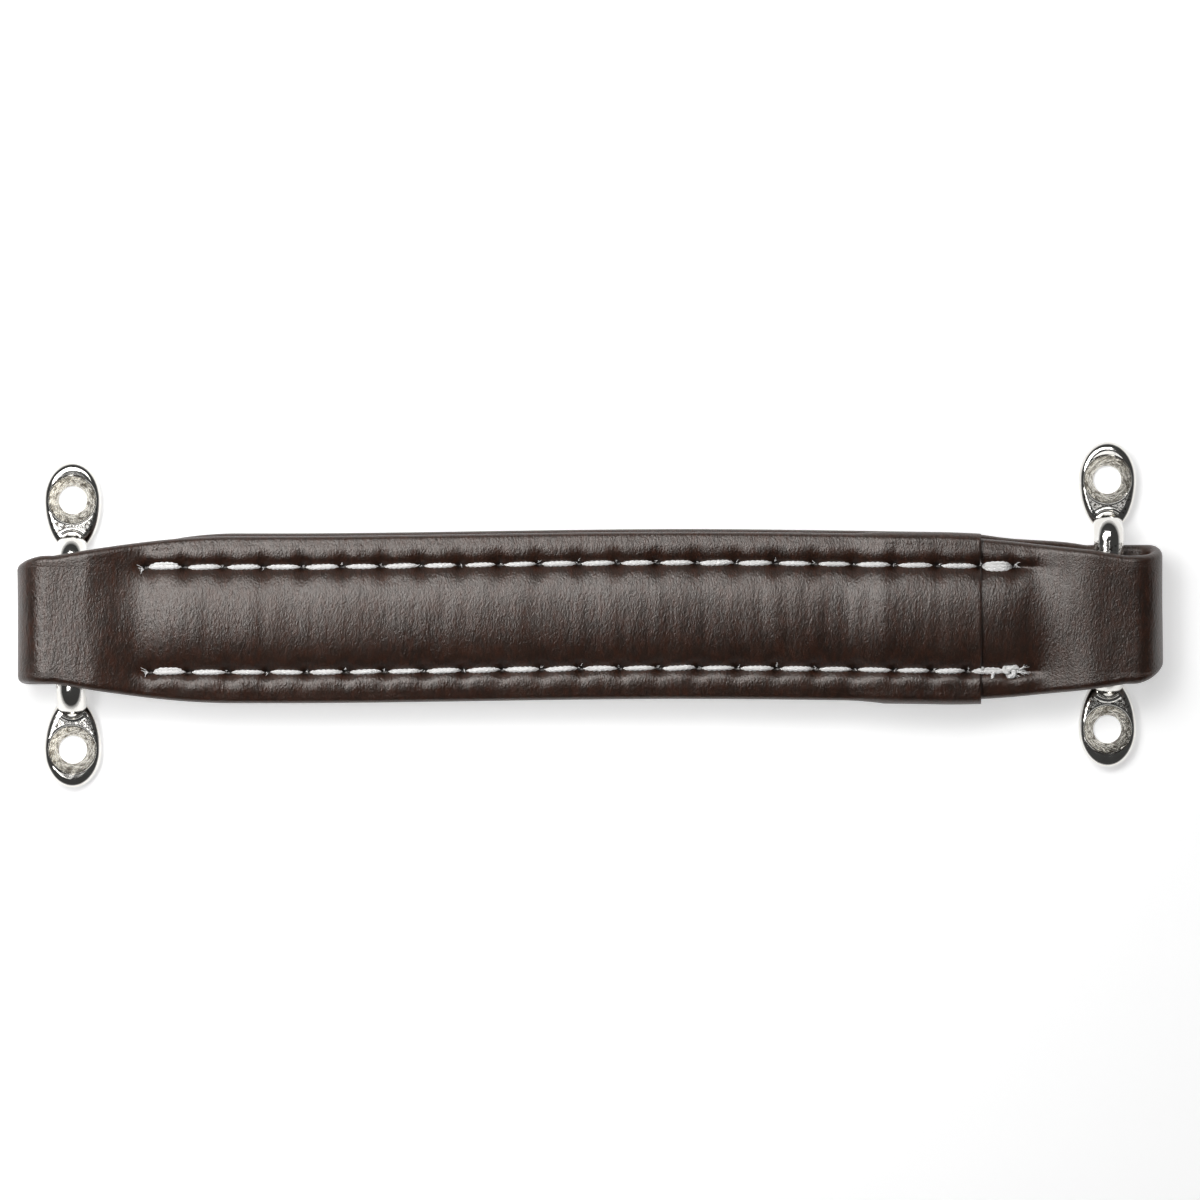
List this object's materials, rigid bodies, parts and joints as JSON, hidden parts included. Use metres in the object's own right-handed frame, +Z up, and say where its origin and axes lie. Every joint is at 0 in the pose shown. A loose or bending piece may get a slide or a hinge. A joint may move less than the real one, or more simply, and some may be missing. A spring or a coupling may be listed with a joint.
{
  "type": "amplifier strap handle",
  "caption": "Padded stitched strap handle, looped at both ends round the rods of two screw-down plated end brackets.",
  "frame": {"origin": "midway between the two brackets, on the plane of their feet", "axes": "+X along the strap, +Y across it, +Z up from the surface that the feet are screwed to"},
  "size_m": [0.2398, 0.0728, 0.0135],
  "materials": {
    "vinyl": "dark brown grained vinyl with a satin sheen",
    "webbing": "dark woven reinforcing band",
    "padding": "pressed felt filler",
    "thread": "thick off-white twisted thread",
    "nickel": "polished nickel plate over a casting, rougher in the countersinks"
  },
  "bodies": {
    "strap": {"strap_cover": "vinyl", "strap_band": "webbing", "core_pad": "padding", "top_thread_far": "thread", "top_thread_near": "thread", "under_thread_far": "thread", "under_thread_near": "thread"},
    "left_bracket": {"bracket_left": "nickel"},
    "right_bracket": {"bracket_right": "nickel"}
  },
  "joints": [
    {"name": "left_bracket_swing", "type": "hinge", "parent": "strap", "child": "left_bracket", "pos_m": [-0.10865, -0.00215, 0.00692], "axis": [0, 1, 0], "range_deg": [-30, 60]},
    {"name": "right_bracket_swing", "type": "hinge", "parent": "strap", "child": "right_bracket", "pos_m": [0.10865, 0.00215, 0.00692], "axis": [0, 1, 0], "range_deg": [-60, 30]}
  ]
}
